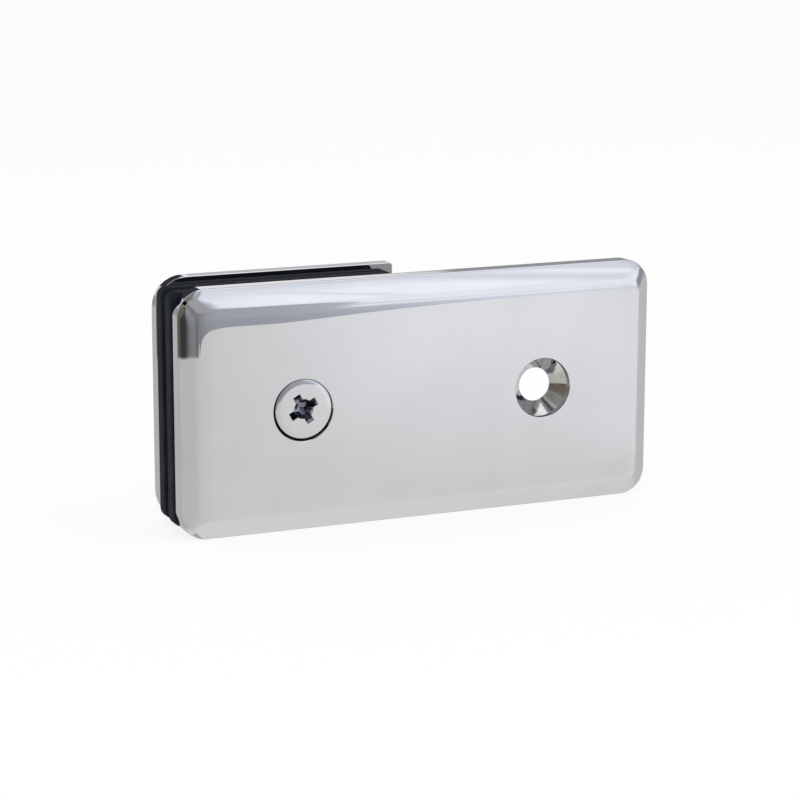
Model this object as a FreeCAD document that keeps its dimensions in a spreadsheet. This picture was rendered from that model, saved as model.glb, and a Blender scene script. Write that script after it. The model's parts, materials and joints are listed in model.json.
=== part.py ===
"""Glass clamp: a long bevelled front plate and a short back plate that one screw draws together.

Millimetres, +Z up. The origin is the centre of the front plate's rear face, which lies on the wall.
The face that shows looks along -Y, and the glass is held behind the left half, at -X.
"""
import FreeCAD, Part
import math
import os

import Sketcher

# Driving dimensions in millimetres, angles in degrees, with what each one is.
SIZES = {
    "plate_length": (103.3, "front plate, left to right"),
    "plate_height": (50.0, "both plates, bottom to top"),
    "plate_thickness": (5.7, "both plates, inner face to outer face"),
    "front_wall": (3.4, "straight side wall of the front plate, up to its bevel"),
    "back_wall": (3.05, "straight side wall of the back plate, up to its bevel"),
    "bevel_side": (4.3, "width of the bevel along the top and bottom, seen from the front"),
    "bevel_end": (3.2, "width of the bevel along the two ends, seen from the front"),
    "corner_radius": (5.2, "corners of the front plate's outline"),
    "face_corner_radius": (1.6, "corners of the flat face inside the bevel"),
    "ridge_radius": (2.0, "polished ridge between a bevel and its face"),
    "shoulder_radius": (0.6, "polished edge between a bevel and its wall"),
    "inner_edge_chamfer": (0.3, "broken edge round the inner face of each plate"),
    "hole_spacing": (52.7, "centre to centre of the two holes"),
    "hole_gap": (0.35, "clearance of the screw in the plate's hole, all round"),
    "countersink_gap": (0.25, "clearance of the screw's head in its countersink, all round"),
    "countersink_land": (0.9, "straight rim above the cone of the countersink"),
    "glass_slot": (4.5, "between the two pads, where the glass goes"),
    "back_length": (50.9, "back plate, left to right"),
    "back_inset": (0.4, "the back plate's left end inside the front plate's"),
    "back_rise": (0.35, "the back plate's middle above the hole's centre"),
    "back_corner_radius": (6.4, "corners of the back plate away from the wall"),
    "back_end_radius": (0.8, "corners of the back plate beside the wall"),
    "boss_diameter": (10.0, "tapped boss on the back plate"),
    "boss_end_gap": (3.0, "between the end of the boss and the front plate"),
    "boss_chamfer": (0.5, "lead-in at the end of the boss, outside and in"),
    "thread_skin": (1.0, "metal left behind the blind tapped hole"),
    "thread_gap": (0.06, "running fit of the screw in the tapped hole, all round"),
    "gasket_thickness": (3.0, "both pads"),
    "gasket_inset": (1.5, "the pads inside the plates, at top and bottom"),
    "gasket_shortness": (0.4, "how much shorter than the back plate the pads are"),
    "gasket_overhang": (0.35, "the front pad past the front plate's left end"),
    "gasket_rise": (0.65, "the front pad's middle above the hole's centre"),
    "gasket_corner_radius": (2.0, "corners of both pads"),
    "gasket_hole_gap": (0.3, "all round the bush, in the hole of each pad"),
    "bush_diameter": (14.0, "bush, outside"),
    "bush_length": (7.0, "bush, end to end"),
    "bush_chamfer": (0.5, "lead-in round both ends of the bush"),
    "bush_bore_gap": (0.08, "running fit of the bush on the boss, all round"),
    "bush_end_gap": (0.1, "between the bush and the back plate's inner face"),
    "screw_diameter": (6.0, "thread, over its crests"),
    "screw_tip_gap": (0.7, "between the tip and the bottom of the tapped hole"),
    "screw_tip_chamfer": (0.8, "at the end of the thread"),
    "head_diameter": (12.0, "screw head"),
    "head_rim": (0.8, "straight rim of the screw head"),
    "head_edge_radius": (0.25, "polished edge round the top of the screw head"),
    "head_seat_gap": (0.15, "between the head's cone and the countersink, along the screw"),
    "recess_span": (5.7, "cross recess at the head's face, tip to tip of its wings"),
    "recess_root_span": (2.6, "cross recess at its bottom, tip to tip of its wings"),
    "recess_wing": (1.4, "width of each wing at the head's face"),
    "recess_root_wing": (0.9, "width of each wing at the bottom"),
    "recess_depth": (2.2, "cross recess, from the head's face to its flat bottom"),
    "recess_turn": (29.0, "how far the cross stands turned, the right wing upwards"),
}

TOLERANCE = 1e-6
START_OF, END_OF, CENTRE_OF = 1, 2, 3
ORIGIN = (-1, 1)
ACROSS_AXIS, UPRIGHT_AXIS = -1, -2
QUARTER_TURN = math.pi / 2
UP, OUTWARD = FreeCAD.Vector(0, 0, 1), FreeCAD.Vector(0, -1, 0)

# What two or more pieces share, worked out from the sizes.
HALF_LENGTH, HALF_HEIGHT = "Sizes.plate_length / 2", "Sizes.plate_height / 2"
HOLE = "Sizes.hole_spacing / 2"
END_MARGIN = f"({HALF_LENGTH} - {HOLE})"
BACK_MARGIN = f"({END_MARGIN} - Sizes.back_inset)"
PLATE_GAP = "(Sizes.glass_slot + 2 * Sizes.gasket_thickness)"
SCREW_RADIUS, HEAD_RADIUS = "Sizes.screw_diameter / 2", "Sizes.head_diameter / 2"
THROAT_RADIUS = f"({SCREW_RADIUS} + Sizes.hole_gap)"
MOUTH_RADIUS = f"({HEAD_RADIUS} + Sizes.countersink_gap)"
BOSS_RADIUS, BUSH_RADIUS = "Sizes.boss_diameter / 2", "Sizes.bush_diameter / 2"
BORE_FLOOR = f"({PLATE_GAP} + Sizes.plate_thickness - Sizes.thread_skin)"
# The cone of the head stops short of the cone of its seat, and both slope at 45 degrees.
HEAD_FACE = ("(Sizes.countersink_land + Sizes.countersink_gap - Sizes.head_rim"
             " - Sizes.head_seat_gap - Sizes.plate_thickness)")


def make_sheet(doc):
    """Writes each driving dimension to its own cell, with its name as the alias."""
    sheet = doc.addObject("Spreadsheet::Sheet", "Sizes")
    for row, (name, (amount, meaning)) in enumerate(SIZES.items(), start=1):
        sheet.set(f"A{row}", meaning)
        sheet.set(f"B{row}", str(amount))
        sheet.setAlias(f"B{row}", name)
    doc.recompute()


class SubPart:
    """A body of the document, with the sketches and features that it is made of."""

    def __init__(self, doc, label):
        self.doc = doc
        self.body = doc.addObject("PartDesign::Body", label)
        self.body.Label = label

    def value(self, expression):
        """What an expression comes to now, as a plain number."""
        found = self.body.evalExpression(str(expression))
        return float(getattr(found, "Value", found))

    def plane(self, role):
        """The body's own origin plane of that role."""
        return next(item for item in self.body.Origin.OriginFeatures if item.Role == role)

    def sketch(self, name, role, **offsets):
        """An empty sketch on an origin plane, moved in that plane or off it by expressions."""
        made = self.body.newObject("Sketcher::SketchObject", name)
        made.AttachmentSupport = [(self.plane(role), "")]
        made.MapMode = "FlatFace"
        for direction, expression in offsets.items():
            made.setExpression(f"AttachmentOffset.Base.{direction}", expression)
        return made

    def feature(self, kind, name, expressions=None, **settings):
        """A feature of the body, with its plain settings and the sizes that follow expressions."""
        made = self.body.newObject(f"PartDesign::{kind}", name)
        for key, setting in settings.items():
            setattr(made, key, setting)
        for key, expression in (expressions or {}).items():
            made.setExpression(key, expression)
        self.doc.recompute()
        return made

    def turned(self, kind, name, points, **offsets):
        """A Revolution or Groove about the Y axis of a section given as radius and y."""
        section = self.polygon(self.sketch(f"{name}Section", "XY_Plane", **offsets), points)
        return self.feature(kind, name, Profile=section, ReferenceAxis=(section, ["V_Axis"]))

    def place(self, axis=None, angle=None, **along):
        """Turns the body about an axis through its origin, then moves it to x, y and z."""
        if axis:
            turn = FreeCAD.Rotation(axis, self.value(angle))
            self.body.Placement = FreeCAD.Placement(FreeCAD.Vector(), turn)
            self.body.setExpression("Placement.Rotation.Angle", angle)
        for direction, expression in along.items():
            self.body.setExpression(f"Placement.Base.{direction}", expression)

    def bind(self, sketch, constraint, expression):
        """Adds a constraint whose size follows an expression."""
        index = sketch.addConstraint(constraint)
        sketch.setExpression(f"Constraints[{index}]", expression)

    def pin(self, sketch, element, point, spot, spans):
        """Holds a point, now at spot, by two expressions for its x and y in the sketch."""
        for kind, axis, distance, span in zip(
            ("DistanceX", "DistanceY"), (UPRIGHT_AXIS, ACROSS_AXIS), spot, spans
        ):
            if abs(distance) < TOLERANCE:
                sketch.addConstraint(Sketcher.Constraint("PointOnObject", element, point, axis))
            elif distance > 0:
                self.bind(sketch, Sketcher.Constraint(kind, *ORIGIN, element, point, distance), span)
            else:
                held = Sketcher.Constraint(kind, element, point, *ORIGIN, -distance)
                self.bind(sketch, held, f"-({span})")

    def rounded_rectangle(self, sketch, left, right, low, high, left_radius, right_radius):
        """Four sides with a tangent arc at each corner, every size held by an expression.

        left, right, low and high are where the sides lie, measured from the sketch's origin.
        """
        corners = (
            (right, high, right_radius, -1, -1),
            (left, high, left_radius, 1, -1),
            (left, low, left_radius, 1, 1),
            (right, low, right_radius, -1, 1),
        )
        count = len(corners)
        centres = []
        for index, (side, level, radius, inward_x, inward_y) in enumerate(corners):
            spans = (f"{side} + ({inward_x}) * {radius}", f"{level} + ({inward_y}) * {radius}")
            centre = FreeCAD.Vector(self.value(spans[0]), self.value(spans[1]), 0)
            circle = Part.Circle(centre, UP, self.value(radius))
            begin = QUARTER_TURN * index
            sketch.addGeometry(Part.ArcOfCircle(circle, begin, begin + QUARTER_TURN), False)
            centres.append((centre, spans, radius))
        arcs = sketch.Geometry[:count]
        for index, arc in enumerate(arcs):
            following = arcs[(index + 1) % count]
            sketch.addGeometry(Part.LineSegment(arc.EndPoint, following.StartPoint), False)
        for index, (centre, spans, radius) in enumerate(centres):
            side, following = count + index, (index + 1) % count
            sketch.addConstraint(Sketcher.Constraint("Tangent", index, END_OF, side, START_OF))
            sketch.addConstraint(Sketcher.Constraint("Tangent", side, END_OF, following, START_OF))
            self.bind(sketch, Sketcher.Constraint("Radius", index, self.value(radius)), radius)
            self.pin(sketch, index, CENTRE_OF, (centre.x, centre.y), spans)
        return sketch

    def polygon(self, sketch, points):
        """A closed outline through points, each given by two expressions for its x and y."""
        corners = [FreeCAD.Vector(self.value(x), self.value(y), 0) for x, y in points]
        count = len(corners)
        for index, corner in enumerate(corners):
            sketch.addGeometry(Part.LineSegment(corner, corners[(index + 1) % count]), False)
        for index, (corner, spans) in enumerate(zip(corners, points)):
            following = (index + 1) % count
            sketch.addConstraint(Sketcher.Constraint("Coincident", index, END_OF, following, START_OF))
            self.pin(sketch, index, START_OF, (corner.x, corner.y), spans)
        return sketch

    def circle(self, sketch, radius):
        """A circle round the sketch's origin."""
        index = sketch.addGeometry(Part.Circle(FreeCAD.Vector(), UP, self.value(radius)), False)
        sketch.addConstraint(Sketcher.Constraint("Coincident", index, CENTRE_OF, *ORIGIN))
        self.bind(sketch, Sketcher.Constraint("Radius", index, self.value(radius)), radius)

    def edges_at(self, level):
        """The present solid, with the names of its edges that lie in the plane y = level."""
        wanted = self.value(level)
        names = [
            f"Edge{index}" for index, edge in enumerate(self.body.Shape.Edges, start=1)
            if abs(edge.BoundBox.YMin - wanted) < TOLERANCE and edge.BoundBox.YLength < TOLERANCE
        ]
        return self.body.Tip, names

    def round_edges_at(self, name, level, radius):
        """A Fillet of every edge in the plane y = level."""
        self.feature("Fillet", name, {"Radius": radius}, Base=self.edges_at(level))

    def break_edges_at(self, name, level, size):
        """A small Chamfer of every edge in the plane y = level."""
        self.feature("Chamfer", name, {"Size": size}, Base=self.edges_at(level))


def make_bevelled_plate(part, wall, outline):
    """A cast plate: a straight wall off its inner face, then a bevel in to a smaller flat face.

    The inner face lies at y = 0 and the plate stands off it towards -Y. outline gives where the four
    sides lie and the corner radii at the left and the right.
    """
    left, right, low, high, _, _ = outline
    face = (
        f"{left} + Sizes.bevel_end", f"{right} - Sizes.bevel_end",
        f"{low} + Sizes.bevel_side", f"{high} - Sizes.bevel_side",
        "Sizes.face_corner_radius", "Sizes.face_corner_radius",
    )
    foot = part.rounded_rectangle(part.sketch("WallFoot", "XZ_Plane"), *outline)
    part.feature("Pad", "Wall", {"Length": wall}, Profile=foot)
    shoulder = part.rounded_rectangle(part.sketch("BevelFoot", "XZ_Plane", z=wall), *outline)
    top = part.rounded_rectangle(
        part.sketch("BevelTop", "XZ_Plane", z="Sizes.plate_thickness"), *face)
    part.feature("AdditiveLoft", "Bevel", Profile=shoulder, Sections=[top], Ruled=True)
    part.round_edges_at("Ridge", "-Sizes.plate_thickness", "Sizes.ridge_radius")
    part.round_edges_at("Shoulder", f"-{wall}", "Sizes.shoulder_radius")
    part.break_edges_at("InnerEdge", "0", "Sizes.inner_edge_chamfer")


def make_front_plate(doc):
    """The long plate that shows, with a countersunk hole in each half."""
    part = SubPart(doc, "front_plate")
    make_bevelled_plate(part, "Sizes.front_wall", (
        f"-{HALF_LENGTH}", HALF_LENGTH, f"-{HALF_HEIGHT}", HALF_HEIGHT,
        "Sizes.corner_radius", "Sizes.corner_radius",
    ))
    # The cutter is the hole's half section, drawn on past both faces of the plate.
    cone_top = "Sizes.countersink_land - Sizes.plate_thickness"
    past_face, past_back = "-2 * Sizes.plate_thickness", "Sizes.plate_thickness"
    hole = part.turned("Groove", "FixingHole", (
        ("0", past_face),
        (MOUTH_RADIUS, past_face),
        (MOUTH_RADIUS, cone_top),
        (THROAT_RADIUS, f"{cone_top} + {MOUTH_RADIUS} - {THROAT_RADIUS}"),
        (THROAT_RADIUS, past_back),
        ("0", past_back),
    ), x=HOLE)
    part.body.Tip = part.feature(
        "Mirrored", "ScrewHole", Originals=[hole], MirrorPlane=(part.plane("YZ_Plane"), [""]))
    return part


def make_back_plate(doc):
    """The short plate behind the glass, with the tapped boss that the screw draws in.

    It is drawn like the front plate, round its own hole, and turned to face the other way.
    """
    part = SubPart(doc, "back_plate")
    make_bevelled_plate(part, "Sizes.back_wall", (
        f"{BACK_MARGIN} - Sizes.back_length", BACK_MARGIN,
        f"Sizes.back_rise - {HALF_HEIGHT}", f"Sizes.back_rise + {HALF_HEIGHT}",
        "Sizes.back_end_radius", "Sizes.back_corner_radius",
    ))
    boss_end = f"({PLATE_GAP} - Sizes.boss_end_gap)"
    part.turned("Revolution", "Boss", (
        ("0", "-Sizes.thread_skin"),
        (BOSS_RADIUS, "-Sizes.thread_skin"),
        (BOSS_RADIUS, f"{boss_end} - Sizes.boss_chamfer"),
        (f"{BOSS_RADIUS} - Sizes.boss_chamfer", boss_end),
        ("0", boss_end),
    ))
    bore_radius = f"({SCREW_RADIUS} + Sizes.thread_gap)"
    part.turned("Groove", "TappedHole", (
        ("0", f"{PLATE_GAP} - {BORE_FLOOR}"),
        (bore_radius, f"{PLATE_GAP} - {BORE_FLOOR}"),
        (bore_radius, f"{boss_end} - Sizes.boss_chamfer"),
        (f"{bore_radius} + 2 * Sizes.boss_chamfer", f"{boss_end} + Sizes.boss_chamfer"),
        ("0", f"{boss_end} + Sizes.boss_chamfer"),
    ))
    part.place(axis=UP, angle="180", x=f"-{HOLE}", y=PLATE_GAP)
    return part


def make_gasket(doc, label, left, rise, level):
    """A soft pad with a hole for the bush, from left of the hole's centre, on the plane y = level."""
    part = SubPart(doc, label)
    half_height = f"({HALF_HEIGHT} - Sizes.gasket_inset)"
    outline = part.rounded_rectangle(
        part.sketch("PadOutline", "XZ_Plane"),
        f"-{left}", f"Sizes.back_length - Sizes.gasket_shortness - {left}",
        f"{rise} - {half_height}", f"{rise} + {half_height}",
        "Sizes.gasket_corner_radius", "Sizes.gasket_corner_radius",
    )
    part.circle(outline, f"({BUSH_RADIUS} + Sizes.gasket_hole_gap)")
    part.feature("Pad", "Sheet", {"Length": "Sizes.gasket_thickness"}, Profile=outline, Reversed=True)
    part.place(x=f"-{HOLE}", y=level)
    return part


def make_bush(doc):
    """The bush round the boss, which keeps the metal off the edge of the glass's hole."""
    part = SubPart(doc, "glass_bush")
    bore = f"({BOSS_RADIUS} + Sizes.bush_bore_gap)"
    part.turned("Revolution", "Tube", (
        (bore, "0"),
        (f"{BUSH_RADIUS} - Sizes.bush_chamfer", "0"),
        (BUSH_RADIUS, "Sizes.bush_chamfer"),
        (BUSH_RADIUS, "Sizes.bush_length - Sizes.bush_chamfer"),
        (f"{BUSH_RADIUS} - Sizes.bush_chamfer", "Sizes.bush_length"),
        (bore, "Sizes.bush_length"),
    ))
    part.place(x=f"-{HOLE}", y=f"{PLATE_GAP} - Sizes.bush_end_gap - Sizes.bush_length")
    return part


def make_screw(doc):
    """The countersunk clamp screw, drawn with its head's face at y = 0 and its tip towards +Y."""
    part = SubPart(doc, "clamp_screw")
    length = f"({BORE_FLOOR} - Sizes.screw_tip_gap - {HEAD_FACE})"
    part.turned("Revolution", "HeadAndShank", (
        ("0", "0"),
        (HEAD_RADIUS, "0"),
        (HEAD_RADIUS, "Sizes.head_rim"),
        (SCREW_RADIUS, f"Sizes.head_rim + {HEAD_RADIUS} - {SCREW_RADIUS}"),
        (SCREW_RADIUS, f"{length} - Sizes.screw_tip_chamfer"),
        (f"{SCREW_RADIUS} - Sizes.screw_tip_chamfer", length),
        ("0", length),
    ))
    part.round_edges_at("HeadEdge", "0", "Sizes.head_edge_radius")
    # The recess narrows from a wide cross in the head's face to a small one at its bottom.
    mouth = cross(part, "RecessMouth", "0", "Sizes.recess_span", "Sizes.recess_wing")
    root = cross(
        part, "RecessRoot", "-Sizes.recess_depth", "Sizes.recess_root_span", "Sizes.recess_root_wing")
    part.feature("SubtractiveLoft", "Recess", Profile=mouth, Sections=[root], Ruled=True)
    part.place(axis=OUTWARD, angle="Sizes.recess_turn", x=f"-{HOLE}", y=HEAD_FACE)
    return part


def cross(part, name, offset, span, width):
    """A sketch of a cross with four equal wings, on a plane that faces the screw's head."""
    reach, side = f"{span} / 2", f"{width} / 2"
    quarter = ((reach, side), (side, side), (side, reach))
    signs = ((1, 1, False), (-1, 1, True), (-1, -1, False), (1, -1, True))
    points = [
        (f"({sign_x}) * {x}", f"({sign_y}) * {y}")
        for sign_x, sign_y, backwards in signs
        for x, y in (reversed(quarter) if backwards else quarter)
    ]
    return part.polygon(part.sketch(name, "XZ_Plane", z=offset), points)


def check(doc, parts):
    """Stops if an object of the document failed, or a sub-part has no sound solid."""
    failed = [item.Label for item in doc.Objects if {"Invalid", "Error"} & set(item.State)]
    for part in parts:
        shape = part.body.Shape
        if shape.isNull() or not shape.isValid() or len(shape.Solids) != 1:
            failed.append(part.body.Label)
    if failed:
        raise RuntimeError(f"these did not build: {failed}")


def main():
    doc = FreeCAD.newDocument("glass_clamp")
    make_sheet(doc)
    front_left = f"({END_MARGIN} + Sizes.gasket_overhang)"
    parts = [
        make_front_plate(doc),
        make_gasket(doc, "front_gasket", front_left, "Sizes.gasket_rise", "0"),
        make_back_plate(doc),
        make_gasket(
            doc, "back_gasket", BACK_MARGIN, "Sizes.back_rise",
            "Sizes.glass_slot + Sizes.gasket_thickness"),
        make_bush(doc),
        make_screw(doc),
    ]
    doc.recompute()
    check(doc, parts)
    os.makedirs("parts", exist_ok=True)
    for part in parts:
        part.body.Shape.exportStep(os.path.join("parts", f"{part.body.Label}.step"))
        print(f"{part.body.Label}: {part.body.Shape.Volume:.1f} cubic millimetres")


main()
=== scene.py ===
"""Looks of a glass clamp: two polished plates, their soft pads, the bush and the clamp screw.

Metres, +Z up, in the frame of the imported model: the origin lies on the wall, in the middle of the
front plate's rear face, and the face that shows looks along -Y.
"""

import bisect
import json
import logging
import math
from dataclasses import dataclass
from enum import Enum
from typing import Callable, Iterable, Sequence

import bmesh
import bpy
from mathutils import Matrix, Vector

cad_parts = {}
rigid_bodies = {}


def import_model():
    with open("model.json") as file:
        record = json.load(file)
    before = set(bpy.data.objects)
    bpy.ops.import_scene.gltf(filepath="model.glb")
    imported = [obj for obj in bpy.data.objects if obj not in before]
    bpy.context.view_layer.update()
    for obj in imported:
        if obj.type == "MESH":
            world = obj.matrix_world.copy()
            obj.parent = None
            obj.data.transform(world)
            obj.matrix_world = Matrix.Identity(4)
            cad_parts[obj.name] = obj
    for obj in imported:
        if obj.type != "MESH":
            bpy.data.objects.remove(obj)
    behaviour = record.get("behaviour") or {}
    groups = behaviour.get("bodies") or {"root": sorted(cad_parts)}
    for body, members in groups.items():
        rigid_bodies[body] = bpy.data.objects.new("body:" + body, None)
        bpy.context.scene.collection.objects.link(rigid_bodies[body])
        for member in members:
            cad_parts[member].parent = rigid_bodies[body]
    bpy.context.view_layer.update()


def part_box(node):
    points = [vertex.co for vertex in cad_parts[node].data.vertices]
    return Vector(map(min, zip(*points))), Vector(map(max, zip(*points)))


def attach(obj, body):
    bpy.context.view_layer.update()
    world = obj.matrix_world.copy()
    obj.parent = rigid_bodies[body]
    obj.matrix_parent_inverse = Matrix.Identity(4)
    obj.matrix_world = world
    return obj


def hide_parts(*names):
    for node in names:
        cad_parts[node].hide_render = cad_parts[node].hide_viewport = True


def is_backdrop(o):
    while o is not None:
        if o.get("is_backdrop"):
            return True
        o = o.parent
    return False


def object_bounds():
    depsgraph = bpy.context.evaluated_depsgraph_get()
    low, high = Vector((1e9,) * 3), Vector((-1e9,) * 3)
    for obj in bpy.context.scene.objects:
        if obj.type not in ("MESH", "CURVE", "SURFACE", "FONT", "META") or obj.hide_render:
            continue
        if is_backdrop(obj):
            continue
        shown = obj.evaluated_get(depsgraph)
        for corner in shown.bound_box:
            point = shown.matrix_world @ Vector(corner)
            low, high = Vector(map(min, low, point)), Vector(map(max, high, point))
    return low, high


MM = 0.001
TOUCH = 1e-6
QUARTER_TURN = math.pi / 2
FULL_TURN = 2 * math.pi
DEGREES = 180 / math.pi
FLAT_WEIGHT = 90

log = logging.getLogger("glass_clamp")

Colour = tuple[float, float, float]
Pair = tuple[float, float]
Piece = bpy.types.Object
Profile = Sequence[Pair]
Rise = tuple[float, float, float]
Stops = Sequence[tuple[float, Colour]]
Test = Callable[[Vector], bool]


class Pick(Enum):
    """What a selection in edit mode is made of."""

    POINTS = "VERT"
    EDGES = "EDGE"
    FACES = "FACE"


class Cut(Enum):
    """What one solid does to another."""

    AWAY = "DIFFERENCE"
    JOIN = "UNION"


class Facing(Enum):
    """Which way a plate's polished face looks, along Y."""

    FRONT = -1
    BACK = 1


@dataclass(frozen=True)
class Outline:
    """A rectangle seen from the front, with its own corner radius at the left and at the right.

    Attributes:
        left, right, low, high: where its four sides lie.
        left_radius, right_radius: the corners at its two ends.
    """

    left: float
    right: float
    low: float
    high: float
    left_radius: float
    right_radius: float

    @property
    def middle(self) -> Pair:
        """The x and z of its centre."""
        return (self.left + self.right) / 2, (self.low + self.high) / 2

    @property
    def spans(self) -> Pair:
        """Its width and its height."""
        return self.right - self.left, self.high - self.low

    def insets(self, point: Vector) -> Pair:
        """How far a point lies inside the nearer end and inside the nearer of top and bottom."""
        return (
            min(point.x - self.left, self.right - point.x),
            min(point.z - self.low, self.high - point.z))

    def carries(self, point: Vector) -> bool:
        """Whether a point lies on this outline, seen from the front.

        Args:
            point: where it is.

        Returns:
            Whether it does, corners and all.
        """
        end, side = self.insets(point)
        radius = self.left_radius if point.x < self.middle[0] else self.right_radius
        if end < radius and side < radius:
            return abs(radius - math.hypot(radius - end, radius - side)) < 2 * TOUCH
        return abs(min(end, side)) < 2 * TOUCH

    def inside(self, end: float, side: float, radius: float) -> "Outline":
        """A smaller outline within this one.

        Args:
            end: how far its ends lie inside these ends.
            side: how far its top and bottom lie inside these.
            radius: its four corners.

        Returns:
            The smaller outline.
        """
        return Outline(
            self.left + end, self.right - end, self.low + side, self.high - side, radius, radius)


def take_up(piece: Piece) -> None:
    """Selects a piece, and nothing else, and makes it the active one.

    Args:
        piece: the piece.
    """
    for other in list(bpy.context.selected_objects):
        other.select_set(False)
    bpy.context.view_layer.objects.active = piece
    piece.select_set(True)


class Workpiece:
    """A mesh in edit mode that Blender's own modelling tools shape, step by step."""

    def __init__(self, name: str) -> None:
        """Starts an empty mesh of that name.

        Args:
            name: what the piece is called.
        """
        self.piece = bpy.data.objects.new(name, bpy.data.meshes.new(name))
        bpy.context.scene.collection.objects.link(self.piece)
        take_up(self.piece)
        bpy.ops.object.mode_set(mode="EDIT")

    @staticmethod
    def turn_to(kind: Pick) -> None:
        """Works on points, edges or faces from here on, with nothing selected."""
        bpy.ops.mesh.select_mode(type=kind.value)
        bpy.ops.mesh.select_all(action="DESELECT")

    def pick(self, kind: Pick, test: Test) -> None:
        """Selects what has each of its corners pass a test, and nothing else.

        Args:
            kind: points, edges or faces.
            test: says whether a corner belongs.
        """
        self.turn_to(kind)
        mesh = bmesh.from_edit_mesh(self.piece.data)
        found = {Pick.POINTS: mesh.verts, Pick.EDGES: mesh.edges, Pick.FACES: mesh.faces}[kind]
        for item in found:
            corners = [item] if kind is Pick.POINTS else item.verts
            if all(test(corner.co) for corner in corners):
                item.select_set(True)
        bmesh.update_edit_mesh(self.piece.data)

    def pick_level(self, kind: Pick, level: float) -> None:
        """Selects what lies in the plane y = level."""
        self.pick(kind, lambda point: abs(point.y - level) < TOUCH)

    def rounded_face(
        self, outline: Outline, level: float, steps: int, side_cuts: tuple[int, int] = (0, 0)
    ) -> None:
        """Adds a flat face with rounded corners in the plane y = level, and leaves it selected.

        Args:
            outline: its sides and corner radii.
            level: where its plane lies.
            steps: how many edges each corner has.
            side_cuts: how often its top and bottom, and how often its ends, are divided.
        """
        (across, up), (width, height) = outline.middle, outline.spans
        centre = (across, level, up)
        self.turn_to(Pick.POINTS)
        bpy.ops.mesh.primitive_plane_add(size=1, location=centre, rotation=(QUARTER_TURN, 0, 0))
        bpy.ops.transform.resize(value=(width, 1, height), center_override=centre)
        ends = ((outline.left, outline.left_radius), (outline.right, outline.right_radius))
        for end, radius in ends:
            self.pick(Pick.POINTS, lambda point, x=end: (
                abs(point.x - x) < TOUCH and abs(point.y - level) < TOUCH))
            bpy.ops.mesh.bevel(
                offset=radius, segments=steps, affect="VERTICES", clamp_overlap=False)
        if all(side_cuts):
            self._divide(
                level, lambda point: abs(abs(point.z - up) - height / 2) < TOUCH, side_cuts[0])
            self._divide(
                level, lambda point: abs(abs(point.x - across) - width / 2) < TOUCH, side_cuts[1])
        self.pick_level(Pick.FACES, level)

    def _divide(self, level: float, test: Test, cuts: int) -> None:
        """Divides the edges in the plane y = level that have both of their ends pass a test.

        Args:
            level: the plane.
            test: says whether an end belongs.
            cuts: how many new points each edge gets.
        """
        self.pick(Pick.EDGES, lambda point: abs(point.y - level) < TOUCH and test(point))
        bpy.ops.mesh.subdivide(number_cuts=cuts)

    def round_picked(self, width: float, steps: int, test: Test) -> None:
        """Rounds the edges that have both of their ends pass a test.

        Args:
            width: how far the rounding reaches on each side of an edge.
            steps: how many faces it is made of.
            test: says whether an end belongs.
        """
        self.pick(Pick.EDGES, test)
        bpy.ops.mesh.bevel(
            offset_type="OFFSET", offset=width, segments=steps, affect="EDGES", clamp_overlap=False)

    def extrude(self, shift: float) -> None:
        """Extrudes the selected faces along Y by shift, and leaves their new ends selected."""
        bpy.ops.mesh.extrude_region_move(TRANSFORM_OT_translate={"value": (0, shift, 0)})

    def bridge(self, first: float, second: float, bulge: float, rows: int) -> None:
        """Joins the flat faces at two levels by a wall that bulges a little, and closes the second.

        Args:
            first: the level of the face that opens into the wall.
            second: the level of the face that stays.
            bulge: how far along Y the middle of the wall stands proud of a straight one.
            rows: how many rows of faces the wall has.
        """
        self.pick(Pick.FACES, lambda point: (
            min(abs(point.y - first), abs(point.y - second)) < TOUCH))
        mesh = bmesh.from_edit_mesh(self.piece.data)
        for face in mesh.faces:
            if face.select and len({round(corner.co.y / TOUCH) for corner in face.verts}) > 1:
                face.select_set(False)
        bmesh.update_edit_mesh(self.piece.data)
        bpy.ops.mesh.bridge_edge_loops(number_cuts=rows - 1, interpolation="LINEAR")
        for row in range(1, rows):
            part = row / rows
            self.pick_level(Pick.POINTS, first + (second - first) * part)
            bpy.ops.transform.translate(value=(0, 4 * bulge * part * (1 - part), 0))
        self.pick_level(Pick.EDGES, second)
        bpy.ops.mesh.edge_face_add()

    def round_edges(self, level: float, width: float, steps: int) -> None:
        """Rounds the edges in the plane y = level, to a width on each side, by some steps."""
        self.round_picked(width, steps, lambda point: abs(point.y - level) < TOUCH)

    def close(self) -> Piece:
        """Merges doubles, points every face outwards and leaves edit mode.

        Returns:
            The finished piece.
        """
        bpy.ops.mesh.select_all(action="SELECT")
        bpy.ops.mesh.remove_doubles(threshold=TOUCH)
        bpy.ops.mesh.normals_make_consistent(inside=False)
        bpy.ops.object.mode_set(mode="OBJECT")
        return self.piece


def turned(name: str, profile: Profile, centre: Pair, steps: int) -> Piece:
    """Turns a solid out of a profile, about an axis that runs along Y.

    Args:
        name: what the solid is called.
        profile: its points in order, each a radius and a y. It starts and ends either on the axis
            or at the same point.
        centre: the axis's x and z.
        steps: how many faces there are round the axis.

    Returns:
        The solid.
    """
    across, up = centre
    points = [Vector((across + radius, level, up)) for radius, level in profile]
    work = Workpiece(name)
    work.turn_to(Pick.POINTS)
    bpy.ops.mesh.primitive_plane_add(size=MM, location=points[0])
    bpy.ops.mesh.merge(type="CENTER")
    for here, there in zip(points, points[1:]):
        bpy.ops.mesh.extrude_vertices_move(TRANSFORM_OT_translate={"value": there - here})
    bpy.ops.mesh.select_linked()
    bpy.ops.mesh.spin(steps=steps, angle=FULL_TURN, center=(across, 0, up), axis=(0, 1, 0))
    return work.close()


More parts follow.
